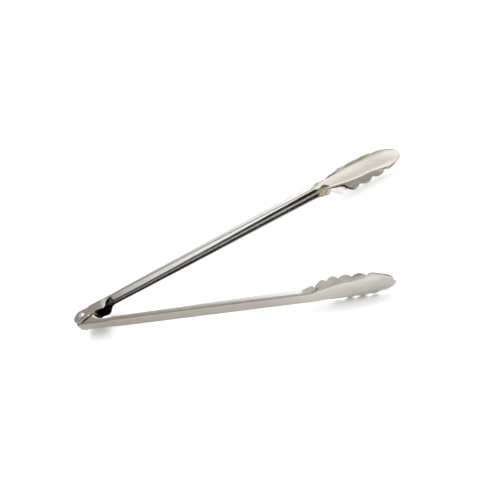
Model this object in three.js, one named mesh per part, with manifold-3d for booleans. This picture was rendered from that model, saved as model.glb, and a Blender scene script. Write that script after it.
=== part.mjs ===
// Spring loaded kitchen tongs: two pressed sheet-steel arms on one rivet, pushed apart by a
// torsion spring. Millimetres. The rivet's axis is +Z, +X runs from the hinge to the tips, and the
// outer arm is on the +Y side. The tongs are modelled open, as the spring holds them.
//
// Each arm is drawn in its own frame, with the rivet's axis at the origin:
//   s  distance along the arm from the rivet's axis
//   d  distance from the closing plane, out to the arm's back
//   z  distance across the arm, along the rivet
import * as THREE from 'three';
import { mergeVertices } from 'three/addons/utils/BufferGeometryUtils.js';
import Module from 'manifold-3d';

// Driving dimensions
const OPEN_ANGLE = THREE.MathUtils.degToRad(24);
const SHEET = 0.9;              // steel thickness
const BACK = 10.8;              // closing plane to the back's outer face
const HALF_WIDTH = 7.3;         // half the arm's outside width
const BEND = 2.5;               // outside bend between back and side wall
const TIP = 397.2;              // rivet to tip
const FRAME_X = -188.863;       // rivet's place along the part's own X
const FRAME_Z = 18.385;         // height of the middle plane, so that the heads' rims touch Z = 0

// The side walls' full edge, as [s, d] from the hinge to the tip
const NECK = 295;
const WALL_EDGE = [
  [-5, 6.8], [NECK, 2.8], [303, 2.2], [320, 1.0], [335, 0.8],
  [350, 0.9], [366, 0.8], [381, 0.1], [TIP, -0.9],
];

// Scoop head
const HEAD_HALF_WIDTH = 18.4;
const FLARE = [293, 337];
const HEAD_FORMS = [NECK, 345]; // the channel's section turns into the head's
const ROUNDING_START = 347;     // where the outline starts to round in to the tip
const ROUNDING_POWER = 2.3;
const TIP_CUT = 0.3;            // the last section stands this far short of the tip
const TIP_SECTIONS = [0.3, 0.56, 0.76, 0.9, 0.97];  // shares of the way from the last notch to the cut
const FLOOR_HALF_WIDTH = 9.8;   // half the head's floor, out to the fold lines
const FLOOR_WIDENS = [304, 345];
const FLOOR_SHARE = 0.75;       // the floor's widest share of the head's width, near the tip
const HEAD_BEND = 2.6;          // the fold between floor and wall
const TIP_BEND = 4;             // the fold softens to this toward the tip
const TIP_SOFTENS = [345, 385];
const BEND_SHARE = 0.7;         // a bend takes at most this share of the floor or the wall
const WALL_BULGE = 0.1;         // how far the head's wall bows outward
const NECK_STEP = 1.5;          // the short step inward at the neck
const NECK_STEP_SPAN = [303, 316];
const FLOOR_STEP = 3.0;         // inward rise of the head's floor behind the neck
const FLOOR_STEP_SPAN = [312, 350];
const FLOOR_SCOOP = 5.6;        // further rise up to the tip
const FLOOR_SCOOP_SPAN = [352, 399];
const NOTCHES = [NECK, 311.5, 328, 342.5, 358, 373.5, 388];
const NOTCH_CUT = [0, 4.2, 3.7, 3.3, 3.2, 3.0, 0.8];  // depth of each notch, along the wall
const CUT_SHARE = 0.75;         // a notch takes at most this share of the wall
const LOBE_POWER = 0.7;         // below 1, so that the lobes are full and the notches sharp
const LOBE_SECTIONS = [0.15, 0.5, 0.85, 1];  // where the sheet is sectioned along each lobe

// Hinge ears
const OUTER_EAR_RADIUS = 8.8;
const OUTER_EAR_TAIL = 2;       // the outer ear's round end is centred this far behind the rivet
const INNER_EAR_RADIUS = 7.6;
const INNER_EAR_HALF_WIDTH = 6.1;
const OUTER_BACK_START = 9;     // the outer arm's back stops here
const INNER_BACK_START = -5;    // the inner arm's back runs on past the rivet
const NECK_IN_START = 36;       // the inner arm narrows between these two
const NECK_IN_END = 54;
const ARM_SECTIONS = [NECK_IN_START, 40, 45, 50, NECK_IN_END, 170, 280];
const EAR_END = 36;             // both ear plates merge into the side walls before this

// Rivet, sleeve and spring
const RIVET_RADIUS = 2.0;
const RIVET_HEAD_RADIUS = 3.6;
const RIVET_HEAD_HEIGHT = 1.6;
const DOME_STEPS = [0.33, 0.66, 1];  // shares of a quarter turn, from the crown to the rim
const RIVET_GAP = 0.15;
const HOLE_RADIUS = 2.25;
const SLEEVE_INNER = 2.2;
const SLEEVE_OUTER = 2.85;
const SLEEVE_HALF_LENGTH = 4.95;
const WIRE_RADIUS = 0.75;
const COIL_RADIUS = 4.0;
const COIL_HALF_LENGTH = 4.05;
const COIL_FULL_TURNS = 4;
const LEG_KNEE = 22;            // where a leg comes to lie along its arm's back
const LEG_END = 31;
const LEG_GAP = 0.35;
const LEG_Z = 2.4;              // the legs run this far from the middle plane

const ROUND_STEPS = 32;
const STEPS_PER_TURN = 24;       // of the coil
const { lerp } = THREE.MathUtils;
const wasm = await Module();
wasm.setup();

// ---- profiles along the arm

function smooth([from, to], value) {
  return THREE.MathUtils.smoothstep(value, from, to);
}

function rimHalfWidth(s, armHalfWidth) {
  const flared = lerp(armHalfWidth, HEAD_HALF_WIDTH, smooth(FLARE, s));
  if (s <= ROUNDING_START) return flared;
  const along = (s - ROUNDING_START) / (TIP - ROUNDING_START);
  return HEAD_HALF_WIDTH * Math.pow(1 - Math.pow(along, ROUNDING_POWER), 1 / ROUNDING_POWER);
}

function backDepth(s) {
  const step = NECK_STEP * smooth(NECK_STEP_SPAN, s) + FLOOR_STEP * smooth(FLOOR_STEP_SPAN, s);
  return BACK - step - FLOOR_SCOOP * smooth(FLOOR_SCOOP_SPAN, s);
}

function rimDepth(s) {
  const next = WALL_EDGE.findIndex(([end], i) => i > 0 && s <= end);
  const [from, to] = [WALL_EDGE[next - 1], WALL_EDGE[next]];
  return THREE.MathUtils.mapLinear(s, from[0], to[0], from[1], to[1]);
}

// How far the edge is cut back along the wall: full lobes between sharp notches.
function notchCut(s) {
  if (s <= NECK) return 0;
  const lobe = NOTCHES.findLastIndex((start) => s >= start);
  const last = NOTCHES.length - 1;
  if (lobe === last) {
    const along = (s - NOTCHES[last]) / (TIP - NOTCHES[last]);
    return NOTCH_CUT[last] * (1 - Math.pow(Math.sin(Math.PI / 2 * along), LOBE_POWER));
  }
  const along = (s - NOTCHES[lobe]) / (NOTCHES[lobe + 1] - NOTCHES[lobe]);
  const between = lerp(NOTCH_CUT[lobe], NOTCH_CUT[lobe + 1], along);
  return between * (1 - Math.pow(Math.sin(Math.PI * along), LOBE_POWER));
}

function innerArmHalfWidth(s) {
  return lerp(INNER_EAR_HALF_WIDTH, HALF_WIDTH, smooth([NECK_IN_START, NECK_IN_END], s));
}

// ---- one cross-section: points (z, d) of the outer skin, from the middle of the back to one rim

const BEND_STEPS = 3;
const WALL_STEPS = 3;

function halfSection(s, armHalfWidth) {
  const rim = new THREE.Vector2(rimHalfWidth(s, armHalfWidth), rimDepth(s));
  const depth = Math.max(backDepth(s), rim.y + SHEET);
  const inHead = smooth(HEAD_FORMS, s);
  const floor = lerp(armHalfWidth, FLOOR_HALF_WIDTH, smooth(FLOOR_WIDENS, s));
  const corner = new THREE.Vector2(Math.min(floor, rim.x * lerp(1, FLOOR_SHARE, inHead)), depth);
  const wall = rim.clone().sub(corner);
  const wanted = lerp(lerp(BEND, HEAD_BEND, inHead), TIP_BEND, smooth(TIP_SOFTENS, s));
  const bend = Math.min(wanted, corner.x * BEND_SHARE, wall.length() * BEND_SHARE);
  const bendStart = new THREE.Vector2(corner.x - bend, corner.y);
  const bendEnd = corner.clone().addScaledVector(wall.clone().normalize(), bend);
  const fillet = new THREE.QuadraticBezierCurve(bendStart, corner, bendEnd);
  const outward = new THREE.Vector2(-wall.y, wall.x).normalize();
  const bulge = WALL_BULGE * inHead * Math.min(1, wall.length() / BACK);
  const points = [new THREE.Vector2(0, depth), ...fillet.getPoints(BEND_STEPS)];
  const reach = 1 - Math.min(CUT_SHARE, notchCut(s) / bendEnd.distanceTo(rim));
  for (let i = 1; i <= WALL_STEPS; i += 1) {
    const along = reach * i / WALL_STEPS;
    const bow = bulge * 4 * along * (1 - along);
    points.push(bendEnd.clone().lerp(rim, along).addScaledVector(outward, bow));
  }
  return points;
}

function insetSection(points) {
  return points.map((point, i) => {
    const before = i === 0 ? new THREE.Vector2(-points[1].x, points[1].y) : points[i - 1];
    const after = points[Math.min(i + 1, points.length - 1)];
    const along = after.clone().sub(before).normalize();
    return point.clone().add(new THREE.Vector2(along.y, -along.x).multiplyScalar(SHEET));
  });
}

function mirrored(half) {
  const left = half.slice(1).reverse().map((p) => new THREE.Vector2(-p.x, p.y));
  return [...left, ...half];
}

// ---- lofted sheet: a closed ring of points at each station, joined into one body

function ringAt(s, armHalfWidth) {
  const outer = halfSection(s, armHalfWidth);
  const inner = insetSection(outer);
  return [...mirrored(outer), ...mirrored(inner).reverse()].map((p) => [s, p.y, p.x]);
}

function loftSheet(stations, halfWidthAt) {
  const rings = stations.map((s) => ringAt(s, halfWidthAt(s)));
  const count = rings[0].length;
  const indices = [];
  const quad = (a, b, c, d) => indices.push(a, c, b, a, d, c);
  for (let i = 0; i < rings.length - 1; i += 1) {
    for (let j = 0; j < count; j += 1) {
      const next = (j + 1) % count;
      quad(i * count + j, (i + 1) * count + j, (i + 1) * count + next, i * count + next);
    }
  }
  const last = (rings.length - 1) * count;
  for (let j = 0; j < count / 2 - 1; j += 1) {
    const across = count - 1 - j;
    quad(j, j + 1, across - 1, across);
    quad(last + j, last + across, last + across - 1, last + j + 1);
  }
  const geometry = new THREE.BufferGeometry();
  geometry.setAttribute('position', new THREE.Float32BufferAttribute(rings.flat(2), 3));
  geometry.setIndex(indices);
  return geometry;
}

function armStations(start) {
  const stations = [start, ...ARM_SECTIONS, NECK];
  for (let lobe = 0; lobe < NOTCHES.length - 1; lobe += 1) {
    const length = NOTCHES[lobe + 1] - NOTCHES[lobe];
    for (const along of LOBE_SECTIONS) stations.push(NOTCHES[lobe] + along * length);
  }
  const end = TIP - TIP_CUT;
  const nearTip = TIP_SECTIONS.map((along) => lerp(NOTCHES.at(-1), end, along));
  return [...stations, ...nearTip, end];
}

// ---- joining and cutting

function toSolid(geometry) {
  const bare = geometry.clone();
  bare.deleteAttribute('normal');
  bare.deleteAttribute('uv');
  const merged = mergeVertices(bare, 1e-5);
  const vertProperties = new Float32Array(merged.attributes.position.array);
  const triVerts = new Uint32Array(merged.index.array);
  return new wasm.Manifold(new wasm.Mesh({ numProp: 3, vertProperties, triVerts }));
}

function toGeometry(solid) {
  const mesh = solid.getMesh();
  const geometry = new THREE.BufferGeometry();
  geometry.setAttribute('position', new THREE.Float32BufferAttribute(mesh.vertProperties, 3));
  geometry.setIndex(Array.from(mesh.triVerts));
  return geometry;
}

function plate(outline, side, halfWidth) {
  const geometry = new THREE.ExtrudeGeometry(outline, { depth: SHEET, bevelEnabled: false, curveSegments: 12 });
  geometry.translate(0, 0, side > 0 ? halfWidth - SHEET : -halfWidth);
  return toSolid(geometry);
}

function rivetHoles() {
  const length = 4 * HALF_WIDTH;
  const geometry = new THREE.CylinderGeometry(HOLE_RADIUS, HOLE_RADIUS, length, ROUND_STEPS);
  geometry.rotateX(Math.PI / 2);
  return toSolid(geometry);
}

// ---- ears, drawn in (s, d)

const EAR_TOP = BACK - BEND - 0.4;
const EDGE_TUCK = 0.3;          // the ear plate reaches this far past the wall's edge

function outerEar() {
  const ear = new THREE.Shape();
  ear.moveTo(OUTER_BACK_START, EAR_TOP);
  ear.quadraticCurveTo(4, OUTER_EAR_RADIUS, -OUTER_EAR_TAIL, OUTER_EAR_RADIUS);
  ear.absarc(-OUTER_EAR_TAIL, 0, OUTER_EAR_RADIUS, Math.PI / 2, 1.58 * Math.PI, false);
  ear.lineTo(16, -3.4);
  ear.quadraticCurveTo(19.5, -2.2, 23, -3.4);
  ear.quadraticCurveTo(29, -5.4, 30.4, -1.6);
  ear.lineTo(31.8, 3.2);
  ear.quadraticCurveTo(32.8, 5.8, EAR_END, rimDepth(EAR_END) + EDGE_TUCK);
  ear.lineTo(EAR_END, EAR_TOP);
  return ear;
}

function innerEar() {
  const ear = new THREE.Shape();
  ear.moveTo(INNER_BACK_START, EAR_TOP);
  ear.lineTo(INNER_BACK_START - 0.6, 6.2);
  ear.absarc(0, 0, INNER_EAR_RADIUS, 0.75 * Math.PI, 1.66 * Math.PI, false);
  ear.quadraticCurveTo(11, -5, 17, 0.5);
  ear.quadraticCurveTo(23, 6, EAR_END, rimDepth(EAR_END) + EDGE_TUCK);
  ear.lineTo(EAR_END, EAR_TOP);
  return ear;
}

// ---- the five pieces

function armGeometry(backStart, halfWidthAt, ear, earHalfWidth) {
  let solid = toSolid(loftSheet(armStations(backStart), halfWidthAt));
  for (const side of [-1, 1]) solid = solid.add(plate(ear, side, earHalfWidth));
  return toGeometry(solid.subtract(rivetHoles()));
}

function rivetGeometry() {
  const seat = HALF_WIDTH + RIVET_GAP;
  const profile = [new THREE.Vector2(0, -seat - RIVET_HEAD_HEIGHT)];
  const dome = (along) => {
    const angle = along * Math.PI / 2;
    return [RIVET_HEAD_RADIUS * Math.sin(angle), RIVET_HEAD_HEIGHT * Math.cos(angle)];
  };
  for (const along of DOME_STEPS) {
    const [radius, height] = dome(along);
    profile.push(new THREE.Vector2(radius, -seat - height));
  }
  profile.push(new THREE.Vector2(RIVET_RADIUS, -seat), new THREE.Vector2(RIVET_RADIUS, seat));
  for (const along of DOME_STEPS.toReversed()) {
    const [radius, height] = dome(along);
    profile.push(new THREE.Vector2(radius, seat + height));
  }
  profile.push(new THREE.Vector2(0, seat + RIVET_HEAD_HEIGHT));
  return new THREE.LatheGeometry(profile, ROUND_STEPS).rotateX(Math.PI / 2);
}

function sleeveGeometry() {
  const profile = [
    new THREE.Vector2(SLEEVE_INNER, -SLEEVE_HALF_LENGTH),
    new THREE.Vector2(SLEEVE_OUTER, -SLEEVE_HALF_LENGTH),
    new THREE.Vector2(SLEEVE_OUTER, SLEEVE_HALF_LENGTH),
    new THREE.Vector2(SLEEVE_INNER, SLEEVE_HALF_LENGTH),
    new THREE.Vector2(SLEEVE_INNER, -SLEEVE_HALF_LENGTH),
  ];
  return new THREE.LatheGeometry(profile, ROUND_STEPS).rotateX(Math.PI / 2);
}

// The spring's centre line: along the outer arm's back to the coil, round it, and out along the
// inner arm's back. Each leg touches the coil at a tangent.
function springPath() {
  const legDepth = BACK - SHEET - WIRE_RADIUS - LEG_GAP;
  const knee = new THREE.Vector2(LEG_KNEE, legDepth);
  const tangent = knee.angle() + Math.acos(COIL_RADIUS / knee.length());
  const upper = (point) => point.clone().rotateAround(new THREE.Vector2(), OPEN_ANGLE / 2);
  const path = new THREE.CurvePath();
  const at = (point, z) => new THREE.Vector3(point.x, point.y, z);
  const kneeTop = upper(knee);
  const endTop = upper(new THREE.Vector2(LEG_END, legDepth));
  const startAngle = tangent + OPEN_ANGLE / 2;
  const turned = 2 * Math.PI * COIL_FULL_TURNS + 2 * (Math.PI - startAngle);
  const coilPoints = [];
  const coilSteps = STEPS_PER_TURN * COIL_FULL_TURNS;
  for (let i = 0; i <= coilSteps; i += 1) {
    const along = i / coilSteps;
    const angle = startAngle + along * turned;
    const z = lerp(-COIL_HALF_LENGTH, COIL_HALF_LENGTH, along);
    coilPoints.push(new THREE.Vector3(COIL_RADIUS * Math.cos(angle), COIL_RADIUS * Math.sin(angle), z));
  }
  const below = (point) => new THREE.Vector2(point.x, -point.y);
  path.add(new THREE.LineCurve3(at(endTop, -LEG_Z), at(kneeTop, -LEG_Z)));
  path.add(new THREE.LineCurve3(at(kneeTop, -LEG_Z), coilPoints[0]));
  path.add(new THREE.CatmullRomCurve3(coilPoints));
  path.add(new THREE.LineCurve3(coilPoints[coilSteps], at(below(kneeTop), LEG_Z)));
  path.add(new THREE.LineCurve3(at(below(kneeTop), LEG_Z), at(below(endTop), LEG_Z)));
  return path;
}

function springGeometry() {
  const section = new THREE.Shape().absarc(0, 0, WIRE_RADIUS, 0, 2 * Math.PI, false);
  const options = { steps: 120, extrudePath: springPath(), curveSegments: 4, bevelEnabled: false };
  return new THREE.ExtrudeGeometry(section, options);
}

// ---- assembly

function piece(name, geometry, colour, roughness) {
  const material = new THREE.MeshStandardMaterial({ color: colour, roughness, metalness: 1 });
  const mesh = new THREE.Mesh(geometry, material);
  mesh.name = name;
  return mesh;
}

const outerArm = piece(
  'outer_arm',
  armGeometry(OUTER_BACK_START, () => HALF_WIDTH, outerEar(), HALF_WIDTH),
  0xc9c5bd,
  0.28,
);
outerArm.rotation.z = OPEN_ANGLE / 2;

const innerArm = piece(
  'inner_arm',
  armGeometry(INNER_BACK_START, innerArmHalfWidth, innerEar(), INNER_EAR_HALF_WIDTH),
  0xc9c5bd,
  0.28,
);
innerArm.rotation.set(Math.PI, 0, OPEN_ANGLE / 2);

const tongs = new THREE.Group();
tongs.add(outerArm, innerArm);
tongs.add(piece('pivot_rivet', rivetGeometry(), 0xbdb9b2, 0.3));
tongs.add(piece('spacer_sleeve', sleeveGeometry(), 0xa9a59e, 0.4));
tongs.add(piece('torsion_spring', springGeometry(), 0x9d9a94, 0.35));
tongs.position.set(FRAME_X, 0, FRAME_Z);

export default tongs;
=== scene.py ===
import math

import bpy
import numpy as np
from mathutils import Matrix, Vector


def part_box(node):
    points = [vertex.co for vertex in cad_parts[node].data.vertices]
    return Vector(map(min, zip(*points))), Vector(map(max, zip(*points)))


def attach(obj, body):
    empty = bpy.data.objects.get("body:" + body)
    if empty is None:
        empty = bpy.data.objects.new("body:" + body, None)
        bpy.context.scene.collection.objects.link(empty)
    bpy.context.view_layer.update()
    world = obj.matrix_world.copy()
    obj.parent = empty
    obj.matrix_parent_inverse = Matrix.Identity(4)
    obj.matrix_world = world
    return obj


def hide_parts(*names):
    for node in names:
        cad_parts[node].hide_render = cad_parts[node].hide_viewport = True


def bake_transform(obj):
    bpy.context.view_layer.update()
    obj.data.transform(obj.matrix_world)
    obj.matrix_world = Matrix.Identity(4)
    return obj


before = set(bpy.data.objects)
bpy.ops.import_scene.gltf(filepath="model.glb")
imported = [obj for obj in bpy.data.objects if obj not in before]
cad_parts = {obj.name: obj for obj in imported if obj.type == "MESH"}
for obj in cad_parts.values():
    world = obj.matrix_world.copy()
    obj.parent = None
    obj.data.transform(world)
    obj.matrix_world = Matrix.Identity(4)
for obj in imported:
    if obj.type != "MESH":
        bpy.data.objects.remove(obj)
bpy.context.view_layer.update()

# Spring loaded kitchen tongs: the looks of the two pressed steel arms, the rivet, the sleeve and
# the torsion spring. Dimensions are in millimetres and go to metres where a mesh is made. Each
# arm is drawn in its own frame: s along the arm from the rivet, d out from the closing plane to
# the arm's back, and z across, along the rivet.

MM = 0.001

# Arm sheet
HALF_OPEN = math.radians(12)
SHEET = 0.9
BACK = 10.8
HALF_WIDTH = 7.3
BEND = 2.5
TIP = 397.2
LAST_STATION = 396.9
# The side walls' full edge, as (s, d) from the hinge to the tip
WALL_EDGE = (
    (-5, 6.8), (295, 2.8), (303, 2.2), (320, 1.0), (335, 0.8),
    (350, 0.9), (366, 0.8), (381, 0.1), (TIP, -0.9),
)

# Scoop head
HEAD_HALF_WIDTH = 18.4
FLARE = (293, 337)
HEAD_RANGE = (295, 345)
ROUNDING_START = 347
ROUNDING_POWER = 2.3
HEAD_CORNER = 9.8
HEAD_CORNER_RANGE = (304, 345)
HEAD_BEND = 2.6
TIP_BEND = 4
TIP_BEND_RANGE = (345, 385)
WALL_BULGE = 0.1
NECK_STEP = 1.5
NECK_STEP_RANGE = (303, 316)
FLOOR_STEP = 3.0
FLOOR_STEP_RANGE = (312, 350)
FLOOR_SCOOP = 5.6
FLOOR_SCOOP_RANGE = (352, 399)
NOTCHES = (295, 311.5, 328, 342.5, 358, 373.5, 388)
NOTCH_CUT = (0, 4.2, 3.7, 3.3, 3.2, 3.0, 0.8)
LOBE_POWER = 0.7
CUT_SHARE = 0.75
RIM_CURL = 0.3
CURL_START = 0.7
CORNER_SHARE = 0.75
BEND_SHARE = 0.7

# Hinge ears
EAR_END = 36
EAR_PINCH = 0.35
PINCH_IN = (24, 33)
PINCH_OUT = (38, 75)
OUTER_EAR_RADIUS = 8.79
OUTER_EAR_CENTRE = -2
OUTER_BACK_START = 9
INNER_EAR_RADIUS = 7.6
INNER_EAR_HALF_WIDTH = 6.1
INNER_BACK_START = -5
NECK_IN = (36, 54)

# Rivet, sleeve and spring
HOLE_RADIUS = 2.25
RIVET_RADIUS = 2.0
RIVET_HEAD_RADIUS = 3.6
RIVET_HEAD_HEIGHT = 1.6
RIVET_GAP = 0.15
RIVET_BRIM = 0.22
BRIM_ROUNDING = ((0.05, 0.06), (0.2, 0))
SLEEVE_INNER = 2.2
SLEEVE_OUTER = 2.85
SLEEVE_HALF_LENGTH = 4.95
SLEEVE_CHAMFER = 0.12
WIRE_RADIUS = 0.75
COIL_RADIUS = 4.0
COIL_HALF_LENGTH = 4.05
COIL_FULL_TURNS = 4
LEG_KNEE = 22
LEG_END = 31
LEG_GAP = 0.35
LEG_Z = 2.4

# Mesh density
WALL_COLUMNS = 9
BEND_COLUMNS = 7
BACK_COLUMNS = 3
TAIL_ROWS = 16
EAR_ROWS = 34
NECK_ROWS = 13
CHANNEL_ROWS = 40
LOBE_ROWS = 19
TIP_ROWS = 14
TAIL_TURN = 0.06                # radians round the tail, where the first row stands
ROW_GAP = 0.02
EDGE_BEVEL = 0.17
BEVEL_ANGLE = math.radians(50)
ROUND_STEPS = 64
WIRE_SIDES = 16
COIL_STEPS_PER_TURN = 30
WIRE_END_SIZE = 0.8
WIRE_END_LENGTH = 0.2

# Tones of the steel, as (metres along the piece, colour). On the arms the tones are painted reflection and
# painted shade along the arm.
TONE_LENGTH = 0.4
# The arms' outside: a painted reflection, darker near the hinge and lighter toward the head
OUTSIDE_PAINTED_REFLECTION_TONES = ((0.0, (0.28, 0.245, 0.2)), (0.25, (0.39, 0.36, 0.31)), (0.33, (0.49, 0.465, 0.41)))
# The arms' inside: painted shade, nearly black up to 22 mm past the rivet for the dark hinge gap and
# fading to steel by 28 mm; further on a painted reflection, bright along the arm and dimmer in the head
INSIDE_PAINTED_SHADE_AND_REFLECTION_TONES = (
    (0.022, (0.02, 0.02, 0.02)), (0.028, (0.36, 0.35, 0.325)),
    (0.25, (0.88, 0.865, 0.84)), (0.31, (0.68, 0.635, 0.565)),
)
RIVET_TONES = ((0.0, (0.5, 0.48, 0.44)), (TONE_LENGTH, (0.5, 0.48, 0.44)))
SLEEVE_TONES = ((0.0, (0.45, 0.43, 0.4)), (TONE_LENGTH, (0.45, 0.43, 0.4)))
SPRING_TONES = ((0.0, (0.3, 0.285, 0.26)), (TONE_LENGTH, (0.3, 0.285, 0.26)))

# Marks in the steel: how a noise is drawn out along x, y and z, noise scales, and depths in metres
SHEET_GRAIN = (50, 5200, 5200)
TURNED_GRAIN = (400, 400, 400)
WIRE_GRAIN = (900, 900, 900)
STREAKS = (12, 420, 420)
SCRATCHES = (160, 900, 2600)
EVEN = (1, 1, 1)
SMUDGE_SCALE = 55.0
WAVE_SCALE = 32.0
WEAR_SCALE = 900.0
WAVE_DEPTH = 0.0001
SCRATCH_DEPTH = 0.000003
GRAIN_DEPTH = 0.000004

# Zones of the room's light, in degrees: across from -Y or +Y, and above the horizon, each as
# (low, high, softness)
DARK_STRIP = ((-80, 27, 7), (36, 43, 1.5))
DARK_BLOCK = ((-35, 2, 2), (40, 62, 2))
GREY_WALL = ((-40, 30, 7), (8, 36, 3))
BACK_PANEL = ((-39, 60, 2.5), (22, 75, 6))
FRONT_PANEL = ((-30, 40, 7), (48, 78, 3))

# Light
WORLD_LEVEL = 1.0
PANEL_LEVEL = 1.5
FRONT_PANEL_SHARE = 0.3
DARK_LEVEL = 0.02
GREY_LEVEL = 0.45
ROOM_COLOUR = (1, 0.995, 0.985)
PANEL_COLOUR = (0.9, 0.97, 1.12)
OVERHEAD_PLACE = (-0.1, 0.3, 2.2)
OVERHEAD_SIZE = (2.6, 2.2)
OVERHEAD_POWER = 30
FLOOR_REACH = 12.0
FLOOR_COLOUR = (0.93, 0.93, 0.925)

# Camera
AIM_FROM_RIVET = (202.8, 32.4, 0)
CAMERA_DISTANCE = 1737
AZIMUTH = math.radians(36.69)
ELEVATION = math.radians(38.50)
ROLL = math.radians(-44.15)
LENS = 122.5
SENSOR = 36


# ---- profiles along the arm

def lerp(a, b, t):
    return a + (b - a) * t


def smooth(span, value):
    t = min(1.0, max(0.0, (value - span[0]) / (span[1] - span[0])))
    return t * t * (3 - 2 * t)


def rim_half_width(s, arm_half_width):
    if s <= ROUNDING_START:
        return lerp(arm_half_width, HEAD_HALF_WIDTH, smooth(FLARE, s))
    along = min(1.0, (s - ROUNDING_START) / (TIP - ROUNDING_START))
    return HEAD_HALF_WIDTH * (1 - along ** ROUNDING_POWER) ** (1 / ROUNDING_POWER)


def back_depth(s):
    step = NECK_STEP * smooth(NECK_STEP_RANGE, s) + FLOOR_STEP * smooth(FLOOR_STEP_RANGE, s)
    return BACK - step - FLOOR_SCOOP * smooth(FLOOR_SCOOP_RANGE, s)


def rim_depth(s):
    """The walls' full edge, before the notches are cut."""
    return float(np.interp(s, *zip(*WALL_EDGE)))


def notch_cut(s):
    """How far the edge is cut back along the wall: full lobes between sharp notches."""
    if s <= NOTCHES[0]:
        return 0.0
    if s >= NOTCHES[-1]:
        along = (s - NOTCHES[-1]) / (TIP - NOTCHES[-1])
        return NOTCH_CUT[-1] * (1 - math.sin(math.pi / 2 * along) ** LOBE_POWER)
    lobe = int(np.searchsorted(NOTCHES, s, side="right")) - 1
    along = (s - NOTCHES[lobe]) / (NOTCHES[lobe + 1] - NOTCHES[lobe])
    between = lerp(NOTCH_CUT[lobe], NOTCH_CUT[lobe + 1], along)
    return between * (1 - math.sin(math.pi * along) ** LOBE_POWER)


def outer_half_width(s):
    return HALF_WIDTH - EAR_PINCH * (smooth(PINCH_IN, s) - smooth(PINCH_OUT, s))


def inner_half_width(s):
    return lerp(INNER_EAR_HALF_WIDTH, HALF_WIDTH, smooth(NECK_IN, s))


# ---- ear outlines, as two chains of (s, d) from the tail: the free edge and the back's edge

def arc(centre, radius, start, end, steps=24):
    angles = np.linspace(start, end, steps + 1)
    return [(centre + radius * math.cos(a), radius * math.sin(a)) for a in angles]


def bezier(start, control, end, steps=10):
    points = []
    for t in np.linspace(0, 1, steps + 1)[1:]:
        a, b, c = (1 - t) ** 2, 2 * t * (1 - t), t * t
        points.append(tuple(a * p + b * q + c * r for p, q, r in zip(start, control, end)))
    return points


def outer_ear():
    wall_end = (EAR_END, rim_depth(EAR_END))
    edge = arc(OUTER_EAR_CENTRE, OUTER_EAR_RADIUS, math.pi, 1.58 * math.pi)
    edge += [(16, -3.4)]
    edge += bezier((16, -3.4), (19.5, -2.2), (23, -3.4))
    edge += bezier((23, -3.4), (29, -5.4), (30.4, -1.6))
    edge += [(31.8, 3.2)]
    edge += bezier((31.8, 3.2), (32.8, 5.8), wall_end)
    top = arc(OUTER_EAR_CENTRE, OUTER_EAR_RADIUS, math.pi, math.pi / 2)
    return edge, top + [(OUTER_BACK_START, BACK - BEND)]


def inner_ear():
    wall_end = (EAR_END, rim_depth(EAR_END))
    edge = arc(0, INNER_EAR_RADIUS, math.pi, 1.66 * math.pi)
    edge += bezier(edge[-1], (11, -5), (17, 0.5))
    edge += bezier((17, 0.5), (23, 6), wall_end)
    top = arc(0, INNER_EAR_RADIUS, math.pi, 0.75 * math.pi)
    return edge, top + [(INNER_BACK_START, BACK - BEND)]


def chain_depth(chain, s):
    return float(np.interp(s, [p[0] for p in chain], [p[1] for p in chain]))


# ---- the sheet of one arm: rows of points from one free edge over the back to the other

def stations(ear, back_start):
    edge, top = ear
    tail = edge[0][0]
    round_end = tail + INNER_EAR_RADIUS
    turn = np.linspace(TAIL_TURN, math.pi / 2, TAIL_ROWS)
    found = [tail + (round_end - tail) * (1 - math.cos(a)) for a in turn]
    found += [p[0] for p in top[2:-1:2]] + [back_start]
    found += list(np.linspace(round_end, EAR_END, EAR_ROWS))
    found += list(np.linspace(EAR_END, NECK_IN[1], NECK_ROWS))
    found += list(np.linspace(NECK_IN[1], FLARE[0], CHANNEL_ROWS))
    found += [FLARE[0], NOTCHES[0]]
    for start, end in zip(NOTCHES, NOTCHES[1:]):
        turn = np.linspace(0, math.pi, LOBE_ROWS)
        found += [lerp(start, end, (1 - math.cos(a)) / 2) for a in turn]
    turn = np.linspace(0, math.pi / 2, TIP_ROWS)
    found += [lerp(NOTCHES[-1], LAST_STATION, math.sin(a)) for a in turn]
    kept = (back_start, *NOTCHES)
    spaced = []
    for s in sorted(set(found)):
        if not spaced or s in kept or s - spaced[-1] > ROW_GAP:
            spaced.append(s)
    return spaced


def free_edge(ear, s):
    return chain_depth(ear[0], s) if s < EAR_END else rim_depth(s)


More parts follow.
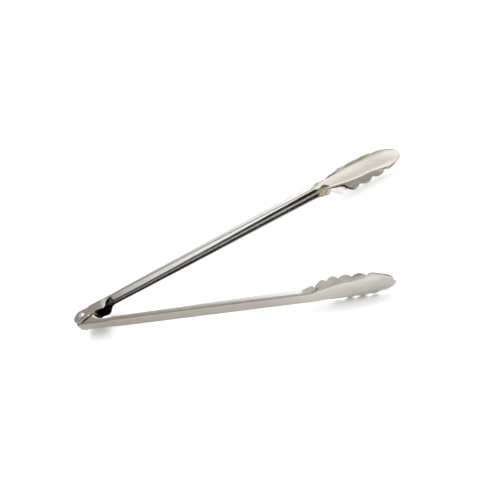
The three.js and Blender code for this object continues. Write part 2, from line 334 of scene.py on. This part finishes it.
def half_row(s, ear, back_start, half_width):
    """Points (z, d) from the free edge to the middle of the back, or to the ear's top edge."""
    rim = np.array((rim_half_width(s, half_width), free_edge(ear, s)))
    if s < back_start:
        top = np.array((half_width, chain_depth(ear[1], s)))
        return [lerp(rim, top, i / WALL_COLUMNS) for i in range(WALL_COLUMNS + 1)]
    depth = max(back_depth(s), rim[1] + SHEET)
    in_head = smooth(HEAD_RANGE, s)
    corner_at = lerp(half_width, HEAD_CORNER, smooth(HEAD_CORNER_RANGE, s))
    corner = np.array((min(corner_at, rim[0] * lerp(1, CORNER_SHARE, in_head)), depth))
    wall = rim - corner
    length = float(np.linalg.norm(wall))
    wanted = lerp(lerp(BEND, HEAD_BEND, in_head), TIP_BEND, smooth(TIP_BEND_RANGE, s))
    bend = min(wanted, corner[0] * BEND_SHARE, length * BEND_SHARE)
    bend_start = corner - np.array((bend, 0))
    bend_end = corner + wall / length * bend
    outward = np.array((-wall[1], wall[0])) / length
    bulge = WALL_BULGE * in_head * min(1, length / BACK)
    wall_length = float(np.linalg.norm(rim - bend_end))
    reach = 1 - min(CUT_SHARE, notch_cut(s) / wall_length)
    curl = RIM_CURL * (1 - in_head)
    points = []
    for i in range(WALL_COLUMNS + 1):
        t = reach * (1 - i / WALL_COLUMNS)
        bow = bulge * 4 * t * (1 - t) - curl * smooth((CURL_START, 1), t)
        points.append(lerp(bend_end, rim, t) + outward * bow)
    for i in range(1, BEND_COLUMNS + 1):
        t = i / BEND_COLUMNS
        points.append((1 - t) ** 2 * bend_end + 2 * t * (1 - t) * corner + t * t * bend_start)
    middle = np.array((0, depth))
    points += [lerp(bend_start, middle, i / BACK_COLUMNS) for i in range(1, BACK_COLUMNS + 1)]
    return points


def sheet_mesh(name, ear, back_start, half_width_at):
    """One open sheet, its faces looking away from the closing plane."""
    half_count = WALL_COLUMNS + BEND_COLUMNS + BACK_COLUMNS
    columns = 2 * half_count + 1
    vertices, rows = [], []
    for s in stations(ear, back_start):
        half = half_row(s, ear, back_start, half_width_at(s))
        row = [None] * columns
        for i, (z, d) in enumerate(half):
            row[i] = len(vertices)
            vertices.append((s * MM, d * MM, z * MM))
            if i < half_count:
                row[columns - 1 - i] = len(vertices)
                vertices.append((s * MM, d * MM, -z * MM))
        rows.append(row)
    faces = []
    for low, high in zip(rows, rows[1:]):
        for j in range(columns - 1):
            corners = (low[j], high[j], high[j + 1], low[j + 1])
            if None not in corners:
                faces.append(corners)
    mesh = bpy.data.meshes.new(name)
    mesh.from_pydata(vertices, [], faces)
    return mesh


# ---- making objects

def add_object(name, mesh, place):
    piece = bpy.data.objects.new(name, mesh)
    bpy.context.scene.collection.objects.link(piece)
    piece.matrix_world = place
    return piece


def freeze(piece):
    """Applies the piece's modifiers, and takes smooth shading with it."""
    bpy.context.view_layer.update()
    evaluated = piece.evaluated_get(bpy.context.evaluated_depsgraph_get())
    mesh = bpy.data.meshes.new_from_object(evaluated)
    mesh.name = piece.name
    piece.modifiers.clear()
    piece.data = mesh


def settle(piece):
    """Moves the piece's place into its mesh. Its own frame stays in an attribute, for the materials."""
    own = piece.data.attributes.new("own_frame", "FLOAT_VECTOR", "POINT")
    points = np.empty(len(piece.data.vertices) * 3, np.float32)
    piece.data.vertices.foreach_get("co", points)
    own.data.foreach_set("vector", points)
    piece.data.transform(piece.matrix_world)
    piece.matrix_world = Matrix.Identity(4)


def lathe_mesh(name, profile, steps=ROUND_STEPS, ring=False):
    """A profile of (radius, z) turned round the z axis; a ring's profile closes on itself."""
    vertices, rings = [], []
    for radius, z in profile:
        if radius < 1e-6:
            rings.append([len(vertices)] * steps)
            vertices.append((0, 0, z * MM))
            continue
        rings.append(list(range(len(vertices), len(vertices) + steps)))
        for i in range(steps):
            angle = 2 * math.pi * i / steps
            vertices.append((radius * math.cos(angle) * MM, radius * math.sin(angle) * MM, z * MM))
    if ring:
        rings.append(rings[0])
    faces = []
    for low, high in zip(rings, rings[1:]):
        for i in range(steps):
            j = (i + 1) % steps
            corners = [low[i], low[j], high[j], high[i]]
            unique = list(dict.fromkeys(corners))
            if len(unique) > 2:
                faces.append(unique)
    mesh = bpy.data.meshes.new(name)
    mesh.from_pydata(vertices, [], faces)
    return mesh


def hole_cutter(place):
    length = 2 * HALF_WIDTH
    profile = [(0, -length), (HOLE_RADIUS, -length), (HOLE_RADIUS, length), (0, length)]
    return add_object("hole_cutter", lathe_mesh("hole_cutter", profile, 48), place)


def make_arm(name, ear, back_start, half_width_at, place, finishes):
    """finishes: the materials of the sheet's outside and of its inside."""
    mesh = sheet_mesh(name, ear, back_start, half_width_at)
    for finish in finishes:
        mesh.materials.append(finish)
    arm = add_object(name, mesh, place)
    solid = arm.modifiers.new("sheet", "SOLIDIFY")
    solid.thickness = SHEET * MM
    solid.offset = -1
    solid.use_even_offset = True
    solid.material_offset = 1
    cutter = hole_cutter(place)
    cut = arm.modifiers.new("rivet_hole", "BOOLEAN")
    cut.object = cutter
    cut.operation = "DIFFERENCE"
    cut.solver = "EXACT"
    bevel = arm.modifiers.new("edges", "BEVEL")
    bevel.width = EDGE_BEVEL * MM
    bevel.segments = 2
    bevel.limit_method = "ANGLE"
    bevel.angle_limit = BEVEL_ANGLE
    freeze(arm)
    bpy.data.objects.remove(cutter)
    arm.data.shade_smooth()
    weighted = arm.modifiers.new("normals", "WEIGHTED_NORMAL")
    weighted.weight = 60
    freeze(arm)
    return arm


# ---- rivet, sleeve and spring

def rivet_profile():
    seat = HALF_WIDTH + RIVET_GAP
    head = []
    for t in np.linspace(0, 1, 9):
        angle = t * math.pi / 2
        head.append((RIVET_HEAD_RADIUS * math.sin(angle), seat + RIVET_HEAD_HEIGHT * math.cos(angle)))
    head[-1] = (RIVET_HEAD_RADIUS, seat + RIVET_BRIM)
    head += [(RIVET_HEAD_RADIUS - inward, seat + height) for inward, height in BRIM_ROUNDING]
    half = head + [(RIVET_RADIUS, seat)]
    return [(r, -z) for r, z in half] + [(r, z) for r, z in reversed(half)]


def sleeve_profile():
    inner, outer, end = SLEEVE_INNER, SLEEVE_OUTER, SLEEVE_HALF_LENGTH
    cut = SLEEVE_CHAMFER
    far = [(outer, end - cut), (outer - cut, end), (inner + cut, end), (inner, end - cut)]
    return [(r, -z) for r, z in reversed(far)] + far


def turned(point, angle):
    x, y = point
    c, s = math.cos(angle), math.sin(angle)
    return (x * c - y * s, x * s + y * c)


def spring_path():
    """The wire's centre line, from the leg on the outer arm round the coil to the other leg."""
    depth = BACK - SHEET - WIRE_RADIUS - LEG_GAP
    knee, end = (LEG_KNEE, depth), (LEG_END, depth)
    tangent = math.atan2(knee[1], knee[0]) + math.acos(COIL_RADIUS / math.hypot(*knee))
    start = tangent + HALF_OPEN
    sweep = 2 * math.pi * COIL_FULL_TURNS + 2 * (math.pi - start)
    knee_up, end_up = turned(knee, HALF_OPEN), turned(end, HALF_OPEN)
    steps = COIL_STEPS_PER_TURN * COIL_FULL_TURNS
    coil = []
    for i in range(steps + 1):
        t = i / steps
        angle = start + t * sweep
        z = lerp(-COIL_HALF_LENGTH, COIL_HALF_LENGTH, t)
        coil.append((COIL_RADIUS * math.cos(angle), COIL_RADIUS * math.sin(angle), z))
    leg = [(*end_up, -LEG_Z), (*lerp(np.array(knee_up), np.array(end_up), 0.35), -LEG_Z)]
    leg += [(*knee_up, -LEG_Z)]
    out = [tuple(lerp(np.array(leg[-1]), np.array(coil[0]), t)) for t in (0.12, 0.4, 0.7, 0.92)]
    before = leg + out
    after = [(x, -y, -z) for x, y, z in reversed(before)]
    return [np.array(p, float) for p in before + coil + after]


def wire_circle(centre, normal, side, radius):
    angles = [2 * math.pi * k / WIRE_SIDES for k in range(WIRE_SIDES)]
    return [tuple(centre + (normal * math.cos(a) + side * math.sin(a)) * radius) for a in angles]


def wire_circles(path, radius):
    """Circles along the path, in metres. Each cut end gets a smaller circle, for its rounded edge."""
    tangents = np.gradient(np.array(path), axis=0)
    tangents /= np.linalg.norm(tangents, axis=1)[:, None]
    normal = np.cross(tangents[0], (0, 0, 1))
    circles = []
    for i, (point, along) in enumerate(zip(path, tangents)):
        normal = normal - along * normal.dot(along)
        normal = normal / np.linalg.norm(normal)
        sizes = [(1.0, 0.0)]
        if i == 0:
            sizes = [(WIRE_END_SIZE, 0.0), (1.0, WIRE_END_LENGTH)]
        if i == len(path) - 1:
            sizes = [(1.0, -WIRE_END_LENGTH), (WIRE_END_SIZE, 0.0)]
        for size, shift in sizes:
            centre = point + along * shift * radius
            circles.append(wire_circle(centre, normal, np.cross(along, normal), radius * size))
    return circles


def tube_mesh(name, path, radius):
    """A round wire along the path, both in millimetres, with slightly rounded cut ends."""
    circles = wire_circles([p * MM for p in path], radius * MM)
    vertices = [point for circle in circles for point in circle]
    faces = []
    for start in range(0, (len(circles) - 1) * WIRE_SIDES, WIRE_SIDES):
        for k in range(WIRE_SIDES):
            low, after = start + k, start + (k + 1) % WIRE_SIDES
            faces.append((low, after, after + WIRE_SIDES, low + WIRE_SIDES))
    last = (len(circles) - 1) * WIRE_SIDES
    faces.append(tuple(reversed(range(WIRE_SIDES))))
    faces.append(tuple(range(last, last + WIRE_SIDES)))
    mesh = bpy.data.meshes.new(name)
    mesh.from_pydata(vertices, [], faces)
    return mesh


def round_path(path):
    """Chaikin smoothing of the wire's bends, with the ends kept."""
    for _ in range(2):
        cut = [path[0]]
        for a, b in zip(path, path[1:]):
            cut += [lerp(a, b, 0.25), lerp(a, b, 0.75)]
        path = cut + [path[-1]]
    return path


# ---- materials

def new_material(name):
    material = bpy.data.materials.new(name)
    material.use_nodes = True
    tree = material.node_tree
    return material, tree, tree.nodes["Principled BSDF"]


def link(tree, a, b):
    tree.links.new(a, b)


def noise(tree, vector, scale, detail=3.0, roughness=0.55):
    node = tree.nodes.new("ShaderNodeTexNoise")
    node.inputs["Scale"].default_value = scale
    node.inputs["Detail"].default_value = detail
    node.inputs["Roughness"].default_value = roughness
    link(tree, vector, node.inputs["Vector"])
    return node.outputs["Fac"]


def stretched(tree, scale):
    """The piece's own coordinates, stretched so that a noise draws out along it."""
    coordinates = tree.nodes.new("ShaderNodeAttribute")
    coordinates.attribute_name = "own_frame"
    mapping = tree.nodes.new("ShaderNodeMapping")
    mapping.inputs["Scale"].default_value = scale
    link(tree, coordinates.outputs["Vector"], mapping.inputs["Vector"])
    return mapping.outputs["Vector"]


def remap(tree, value, low, high, out_low, out_high):
    node = tree.nodes.new("ShaderNodeMapRange")
    node.inputs["From Min"].default_value = low
    node.inputs["From Max"].default_value = high
    node.inputs["To Min"].default_value = out_low
    node.inputs["To Max"].default_value = out_high
    link(tree, value, node.inputs["Value"])
    return node.outputs["Result"]


def add(tree, a, b):
    node = tree.nodes.new("ShaderNodeMath")
    node.operation = "ADD"
    link(tree, a, node.inputs[0])
    link(tree, b, node.inputs[1])
    return node.outputs["Value"]


def bump(tree, height, distance, strength, normal=None):
    node = tree.nodes.new("ShaderNodeBump")
    node.inputs["Distance"].default_value = distance
    node.inputs["Strength"].default_value = strength
    link(tree, height, node.inputs["Height"])
    if normal is not None:
        link(tree, normal, node.inputs["Normal"])
    return node.outputs["Normal"]


def mix_colour(tree, factor, a, b):
    node = tree.nodes.new("ShaderNodeMix")
    node.data_type = "RGBA"
    node.inputs["A"].default_value = (*a, 1)
    node.inputs["B"].default_value = (*b, 1)
    link(tree, factor, node.inputs["Factor"])
    return node.outputs["Result"]


def edge_wear(tree):
    """1 where the surface turns over an edge, broken up by a fine noise."""
    edges = tree.nodes.new("ShaderNodeNewGeometry").outputs["Pointiness"]
    broken = remap(tree, noise(tree, stretched(tree, EVEN), WEAR_SCALE), 0.3, 0.7, -0.02, 0.02)
    return remap(tree, add(tree, edges, broken), 0.53, 0.62, 0.0, 1.0)


def tone_along(tree, tones):
    """The base tone, changing along the piece's own x: tones holds (metres, colour) stops."""
    coordinates = tree.nodes.new("ShaderNodeAttribute")
    coordinates.attribute_name = "own_frame"
    split = tree.nodes.new("ShaderNodeSeparateXYZ")
    link(tree, coordinates.outputs["Vector"], split.inputs["Vector"])
    ramp = tree.nodes.new("ShaderNodeValToRGB")
    link(tree, remap(tree, split.outputs["X"], 0.0, TONE_LENGTH, 0.0, 1.0), ramp.inputs["Fac"])
    stops = ramp.color_ramp.elements
    while len(stops) < len(tones):
        stops.new(0.5)
    for stop, (place, colour) in zip(stops, tones):
        stop.position = place / TONE_LENGTH
        stop.color = (*colour, 1)
    return ramp.outputs["Color"]


def steel(name, tones, rough, grain=SHEET_GRAIN):
    """Bright steel with rolling lines along local x, fine scratches, smudges and a slight waviness."""
    material, tree, shader = new_material(name)
    shader.inputs["Metallic"].default_value = 1.0
    lines = noise(tree, stretched(tree, grain), 1.0, 2.0)
    streaks = noise(tree, stretched(tree, STREAKS), 1.0, 3.0)
    smudges = noise(tree, stretched(tree, EVEN), SMUDGE_SCALE, 4.0)
    waves = noise(tree, stretched(tree, EVEN), WAVE_SCALE, 1.0)
    scratches = noise(tree, stretched(tree, SCRATCHES), 1.0, 1.0)
    scratched = remap(tree, scratches, 0.66, 0.72, 0.0, 1.0)
    streaked = remap(tree, streaks, 0.3, 0.7, 0.9, 1.04)
    shade = add(tree, streaked, remap(tree, smudges, 0.3, 0.7, -0.04, 0.03))
    shade = add(tree, shade, remap(tree, edge_wear(tree), 0.0, 1.0, 0.0, 0.25))
    toned = tree.nodes.new("ShaderNodeVectorMath")
    toned.operation = "SCALE"
    link(tree, tone_along(tree, tones), toned.inputs["Vector"])
    link(tree, shade, toned.inputs["Scale"])
    link(tree, toned.outputs["Vector"], shader.inputs["Base Color"])
    gloss = add(tree, remap(tree, streaks, 0.3, 0.7, rough * 0.8, rough * 1.15),
                remap(tree, smudges, 0.35, 0.7, -0.01, 0.04))
    gloss = add(tree, gloss, remap(tree, scratched, 0.0, 1.0, 0.0, 0.1))
    link(tree, gloss, shader.inputs["Roughness"])
    wavy = bump(tree, waves, WAVE_DEPTH, 0.6)
    marked = bump(tree, scratched, SCRATCH_DEPTH, 0.6, wavy)
    normal = bump(tree, lines, GRAIN_DEPTH, 0.5, marked)
    link(tree, normal, shader.inputs["Normal"])
    return material


def paint(piece, material):
    piece.data.materials.clear()
    piece.data.materials.append(material)


# ---- the five pieces

def rivet_place():
    low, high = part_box("pivot_rivet")
    return Matrix.Translation((low + high) / 2)


RIVET = rivet_place()
OUTER_PLACE = RIVET @ Matrix.Rotation(HALF_OPEN, 4, "Z")
INNER_PLACE = RIVET @ Matrix.Rotation(-HALF_OPEN, 4, "Z") @ Matrix.Rotation(math.pi, 4, "X")


def make_tongs():
    # The arms' base tones carry painted reflection along the arm and painted shade in the hinge
    finishes = (steel("arm_steel", OUTSIDE_PAINTED_REFLECTION_TONES, 0.13), steel("arm_steel_inside", INSIDE_PAINTED_SHADE_AND_REFLECTION_TONES, 0.06))
    outer = make_arm(
        "outer_arm_skin", outer_ear(), OUTER_BACK_START, outer_half_width, OUTER_PLACE, finishes
    )
    inner = make_arm(
        "inner_arm_skin", inner_ear(), INNER_BACK_START, inner_half_width, INNER_PLACE, finishes
    )
    for piece, node in ((outer, "outer_arm"), (inner, "inner_arm")):
        settle(piece)
        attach(piece, node)
        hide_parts(node)

    rivet = add_object("rivet", lathe_mesh("rivet", rivet_profile()), RIVET)
    paint(rivet, steel("rivet_steel", RIVET_TONES, 0.2, TURNED_GRAIN))
    sleeve = add_object("sleeve", lathe_mesh("sleeve", sleeve_profile(), ring=True), RIVET)
    paint(sleeve, steel("sleeve_steel", SLEEVE_TONES, 0.34, TURNED_GRAIN))
    for piece, node in ((rivet, "pivot_rivet"), (sleeve, "spacer_sleeve")):
        piece.data.shade_smooth()
        settle(piece)
        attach(piece, "outer_arm")
        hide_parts(node)

    spring = add_object("spring", tube_mesh("spring", round_path(spring_path()), WIRE_RADIUS), RIVET)
    spring.data.shade_smooth()
    settle(spring)
    paint(spring, steel("spring_steel", SPRING_TONES, 0.32, WIRE_GRAIN))
    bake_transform(spring)
    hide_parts("torsion_spring")


# ---- floor, light and camera

def make_floor():
    reach = FLOOR_REACH
    corners = [(-reach, -reach, 0), (reach, -reach, 0), (reach, reach, 0), (-reach, reach, 0)]
    mesh = bpy.data.meshes.new("floor")
    mesh.from_pydata(corners, [], [(0, 1, 2, 3)])
    floor = add_object("floor", mesh, Matrix.Identity(4))
    material, tree, shader = new_material("floor_paper")
    shader.inputs["Roughness"].default_value = 0.9
    shader.inputs["Specular IOR Level"].default_value = 0.1
    shader.inputs["Base Color"].default_value = (*FLOOR_COLOUR, 1)
    paint(floor, material)


def make_overhead():
    """A large soft light that lights the floor and doesn't show in the steel."""
    light = bpy.data.lights.new("overhead", "AREA")
    light.shape = "RECTANGLE"
    light.size, light.size_y = OVERHEAD_SIZE
    light.energy = OVERHEAD_POWER
    lamp = bpy.data.objects.new("overhead", light)
    bpy.context.scene.collection.objects.link(lamp)
    lamp.location = OVERHEAD_PLACE
    lamp.visible_glossy = False
    lamp.rotation_mode = "QUATERNION"
    lamp.rotation_quaternion = (-Vector(OVERHEAD_PLACE)).to_track_quat("-Z", "Y")


def world_math(tree, operation, *values):
    node = tree.nodes.new("ShaderNodeMath")
    node.operation = operation
    for socket, value in zip(node.inputs, values):
        if isinstance(value, (int, float)):
            socket.default_value = value
        else:
            link(tree, value, socket)
    return node.outputs["Value"]


def step_up(tree, value, start, end):
    node = tree.nodes.new("ShaderNodeMapRange")
    node.interpolation_type = "SMOOTHSTEP"
    node.inputs["From Min"].default_value = start
    node.inputs["From Max"].default_value = end
    link(tree, value, node.inputs["Value"])
    return node.outputs["Result"]


def band(tree, value, low, high, soft):
    """1 between low and high, 0 outside, with soft edges."""
    rise = step_up(tree, value, low - soft, low + soft)
    fall = step_up(tree, value, high + soft, high - soft)
    return world_math(tree, "MULTIPLY", rise, fall)


def zone(tree, turn, above, spans):
    """1 inside a patch of the room, given by its spans of turn and of height above the horizon."""
    return world_math(tree, "MULTIPLY", band(tree, turn, *spans[0]), band(tree, above, *spans[1]))


def make_world():
    """A pale room: soft panels behind and high in front, and an unlit strip and block in front."""
    world = bpy.data.worlds.new("studio")
    bpy.context.scene.world = world
    world.use_nodes = True
    tree = world.node_tree
    direction = tree.nodes.new("ShaderNodeSeparateXYZ")
    link(tree, tree.nodes.new("ShaderNodeTexCoord").outputs["Generated"], direction.inputs["Vector"])
    x, y, z = (direction.outputs[axis] for axis in "XYZ")
    minus_y = world_math(tree, "MULTIPLY", y, -1)
    across = world_math(tree, "DEGREES", world_math(tree, "ARCTAN2", x, minus_y))
    behind = world_math(tree, "DEGREES", world_math(tree, "ARCTAN2", x, y))
    above = world_math(tree, "DEGREES", world_math(tree, "ARCSINE", z))
    strip = zone(tree, across, above, DARK_STRIP)
    dark = world_math(tree, "MAXIMUM", strip, zone(tree, across, above, DARK_BLOCK))
    grey = zone(tree, across, above, GREY_WALL)
    front = world_math(tree, "MULTIPLY", zone(tree, across, above, FRONT_PANEL), FRONT_PANEL_SHARE)
    panel = world_math(tree, "MAXIMUM", zone(tree, behind, above, BACK_PANEL), front)
    lit = world_math(tree, "ADD", WORLD_LEVEL, world_math(tree, "MULTIPLY", panel, PANEL_LEVEL))
    shaded = world_math(tree, "MULTIPLY", lit, world_math(tree, "MULTIPLY_ADD", dark, DARK_LEVEL - 1, 1))
    level = world_math(tree, "MULTIPLY", shaded, world_math(tree, "MULTIPLY_ADD", grey, GREY_LEVEL - 1, 1))
    background = tree.nodes["Background"]
    link(tree, mix_colour(tree, panel, ROOM_COLOUR, PANEL_COLOUR), background.inputs["Color"])
    link(tree, level, background.inputs["Strength"])


def make_light():
    make_world()
    make_overhead()


def make_camera():
    back = Vector((
        math.sin(AZIMUTH) * math.cos(ELEVATION),
        -math.cos(AZIMUTH) * math.cos(ELEVATION),
        math.sin(ELEVATION),
    ))
    level = Vector((math.cos(AZIMUTH), math.sin(AZIMUTH), 0))
    above = back.cross(level)
    right = level * math.cos(ROLL) + above * math.sin(ROLL)
    up = back.cross(right)
    aim = RIVET.translation + Vector(AIM_FROM_RIVET) * MM
    data = bpy.data.cameras.new("camera")
    data.lens = LENS
    data.sensor_width = SENSOR
    camera = bpy.data.objects.new("camera", data)
    bpy.context.scene.collection.objects.link(camera)
    place = Matrix((right, up, back)).transposed().to_4x4()
    place.translation = aim + back * CAMERA_DISTANCE * MM
    camera.matrix_world = place
    bpy.context.scene.camera = camera


make_tongs()
make_floor()
make_light()
make_camera()
bpy.context.scene.view_settings.view_transform = "Standard"
